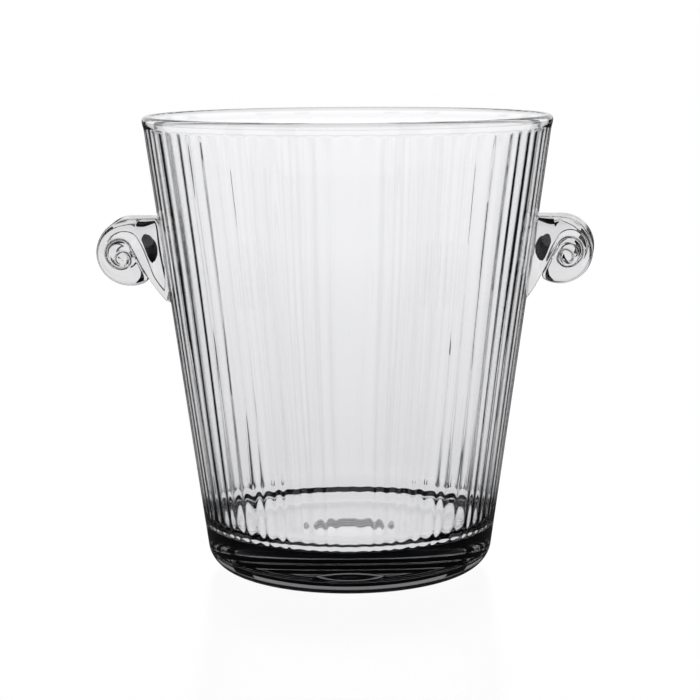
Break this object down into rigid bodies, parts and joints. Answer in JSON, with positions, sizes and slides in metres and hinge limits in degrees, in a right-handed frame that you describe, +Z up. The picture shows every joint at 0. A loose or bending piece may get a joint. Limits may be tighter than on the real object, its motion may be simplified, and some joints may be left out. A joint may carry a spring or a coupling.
{
  "type": "champagne bucket",
  "caption": "Tapered blown glass champagne bucket with a thick base, ribs inside the wall and two scrolled lug handles.",
  "frame": {"origin": "on the resting plane, below the middle of the bowl", "axes": "+Z up, +X through the middle of the right handle, +Y away from the front"},
  "size_m": [0.2514, 0.2052, 0.23],
  "materials": {
    "blown_glass": "fire-polished clear glass",
    "hot_worked_glass": "fire-polished clear glass, tooled while hot"
  },
  "bodies": {
    "root": {"bowl": "blown_glass", "left_handle": "hot_worked_glass", "right_handle": "hot_worked_glass"}
  },
  "joints": []
}
